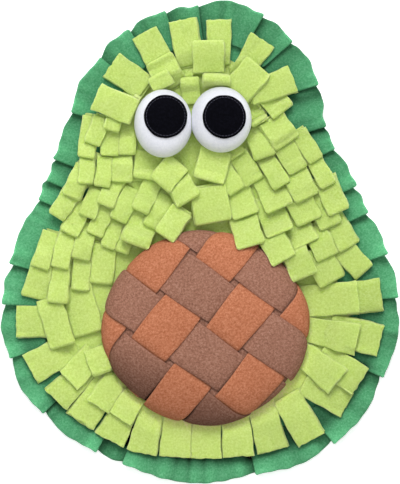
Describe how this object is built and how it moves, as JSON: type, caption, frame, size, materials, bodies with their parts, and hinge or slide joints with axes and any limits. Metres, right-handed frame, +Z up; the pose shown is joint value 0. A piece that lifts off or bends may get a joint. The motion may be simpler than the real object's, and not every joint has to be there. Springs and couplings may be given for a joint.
{
  "type": "snuffle mat",
  "caption": "Fleece snuffle mat shaped as half an avocado, with a pleated edge, rows of folded tabs that hide treats, a woven stuffed pit and two stuffed eyes",
  "frame": {"origin": "middle of the outline's bounding box, on the mat's underside", "axes": "+Z up out of the tabs, +Y towards the narrow end with the eyes, +X to the right with +Y up the page"},
  "size_m": [0.421, 0.5106, 0.0517],
  "materials": {
    "dark_green_fleece": "brushed",
    "light_green_fleece": "brushed",
    "rust_fleece": "brushed",
    "brown_fleece": "brushed",
    "white_plush": "short pile",
    "black_felt": "felt"
  },
  "bodies": {
    "root": {"eye_left": "white_plush", "eye_right": "white_plush", "flesh": "light_green_fleece", "ground": "dark_green_fleece", "pit_pad": "brown_fleece", "pupil_left": "black_felt", "pupil_right": "black_felt", "ruffle": "dark_green_fleece", "strip_brown_0": "brown_fleece", "strip_brown_1": "brown_fleece", "strip_brown_2": "brown_fleece", "strip_brown_3": "brown_fleece", "strip_rust_0": "rust_fleece", "strip_rust_1": "rust_fleece", "strip_rust_2": "rust_fleece", "strip_rust_3": "rust_fleece", "tabs_brow_gap": "light_green_fleece", "tabs_brow_left": "light_green_fleece", "tabs_brow_mid": "light_green_fleece", "tabs_brow_right": "light_green_fleece", "tabs_brow_top": "light_green_fleece", "tabs_brow_top_left": "light_green_fleece", "tabs_cheek_left": "light_green_fleece", "tabs_cheek_low": "light_green_fleece", "tabs_crown_in": "light_green_fleece", "tabs_crown_left": "light_green_fleece", "tabs_crown_right": "light_green_fleece", "tabs_crown_side": "light_green_fleece", "tabs_hip_left": "light_green_fleece", "tabs_hip_right": "light_green_fleece", "tabs_left_0": "light_green_fleece", "tabs_left_1": "light_green_fleece", "tabs_left_2": "light_green_fleece", "tabs_left_3": "light_green_fleece", "tabs_left_4": "light_green_fleece", "tabs_left_5": "light_green_fleece", "tabs_left_6": "light_green_fleece", "tabs_left_7": "light_green_fleece", "tabs_left_8": "light_green_fleece", "tabs_left_z": "light_green_fleece", "tabs_mid_cross": "light_green_fleece", "tabs_mid_low": "light_green_fleece", "tabs_mid_rim": "light_green_fleece", "tabs_right_0": "light_green_fleece", "tabs_right_1": "light_green_fleece", "tabs_right_1_end": "light_green_fleece", "tabs_right_2": "light_green_fleece", "tabs_right_3": "light_green_fleece", "tabs_right_4": "light_green_fleece", "tabs_right_5": "light_green_fleece", "tabs_right_6": "light_green_fleece", "tabs_right_7": "light_green_fleece", "tabs_toe": "light_green_fleece", "tabs_toe_left_in": "light_green_fleece", "tabs_toe_right": "light_green_fleece", "tabs_toe_right_in": "light_green_fleece", "tabs_toe_right_low": "light_green_fleece"}
  },
  "joints": []
}
